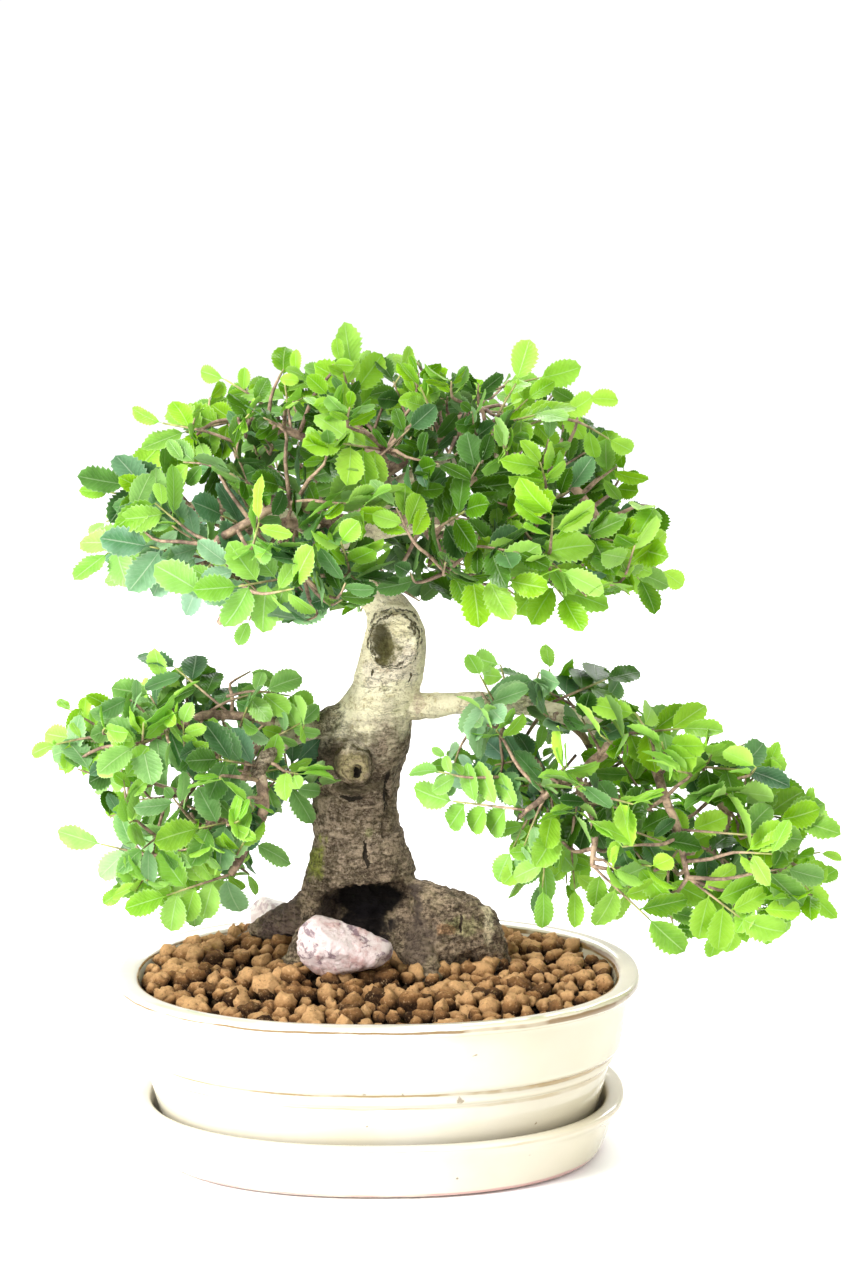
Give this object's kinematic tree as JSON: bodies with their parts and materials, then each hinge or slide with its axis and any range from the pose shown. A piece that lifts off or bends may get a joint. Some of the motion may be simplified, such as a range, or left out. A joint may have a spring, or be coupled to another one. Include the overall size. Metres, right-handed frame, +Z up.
{
  "type": "potted bonsai tree",
  "caption": "Small broad-leaved bonsai tree with one domed crown and two side pads of foliage, rooted in granular soil in a shallow oval glazed pot on a matching drip tray.",
  "frame": {"origin": "centre of the drip tray's underside", "axes": "+Z up, X along the oval pot's long side, -Y towards the tree's front"},
  "size_m": [0.3077, 0.16, 0.3243],
  "materials": {
    "glaze": "glossy cream glaze with fine dark specks",
    "mesh": "dark moulded plastic mesh",
    "bark": "living wood with grey-brown to pale bark",
    "leaf_young": "bright lime young leaves",
    "leaf_mid": "mid green glossy leaves",
    "leaf_old": "dark bluish-green mature leaves",
    "soil": "rough orange-brown fired clay granules",
    "quartz": "pink and white quartz",
    "quartz_pale": "pale quartz"
  },
  "bodies": {
    "root": {"drainage_mesh_left": "mesh", "drainage_mesh_right": "mesh", "drip_tray": "glaze", "leafy_shoot_crown_1": "leaf_young", "leafy_shoot_crown_10": "leaf_mid", "leafy_shoot_crown_11": "leaf_young", "leafy_shoot_crown_12": "leaf_mid", "leafy_shoot_crown_13": "leaf_young", "leafy_shoot_crown_14": "leaf_mid", "leafy_shoot_crown_15": "leaf_young", "leafy_shoot_crown_16": "leaf_mid", "leafy_shoot_crown_2": "leaf_mid", "leafy_shoot_crown_28": "leaf_old", "leafy_shoot_crown_29": "leaf_mid", "leafy_shoot_crown_3": "leaf_young", "leafy_shoot_crown_30": "leaf_old", "leafy_shoot_crown_31": "leaf_mid", "leafy_shoot_crown_32": "leaf_old", "leafy_shoot_crown_33": "leaf_mid", "leafy_shoot_crown_34": "leaf_old", "leafy_shoot_crown_35": "leaf_mid", "leafy_shoot_crown_36": "leaf_old", "leafy_shoot_crown_37": "leaf_mid", "leafy_shoot_crown_4": "leaf_mid", "leafy_shoot_crown_5": "leaf_young", "leafy_shoot_crown_6": "leaf_mid", "leafy_shoot_crown_7": "leaf_young", "leafy_shoot_crown_8": "leaf_mid", "leafy_shoot_crown_9": "leaf_young", "leafy_shoot_left_17": "leaf_young", "leafy_shoot_left_18": "leaf_mid", "leafy_shoot_left_19": "leaf_young", "leafy_shoot_left_20": "leaf_mid", "leafy_shoot_left_21": "leaf_young", "leafy_shoot_left_38": "leaf_mid", "leafy_shoot_left_39": "leaf_old", "leafy_shoot_left_40": "leaf_mid", "leafy_shoot_left_41": "leaf_old", "leafy_shoot_left_42": "leaf_mid", "leafy_shoot_right_22": "leaf_mid", "leafy_shoot_right_23": "leaf_young", "leafy_shoot_right_24": "leaf_mid", "leafy_shoot_right_25": "leaf_young", "leafy_shoot_right_26": "leaf_mid", "leafy_shoot_right_27": "leaf_young", "leafy_shoot_right_43": "leaf_old", "leafy_shoot_right_44": "leaf_mid", "leafy_shoot_right_45": "leaf_old", "leafy_shoot_right_46": "leaf_mid", "leafy_shoot_right_47": "leaf_old", "leafy_shoot_right_48": "leaf_mid", "leafy_shoot_right_49": "leaf_old", "pot": "glaze", "quartz_back": "quartz_pale", "quartz_front": "quartz", "soil": "soil", "tree_wood": "bark"}
  },
  "joints": []
}
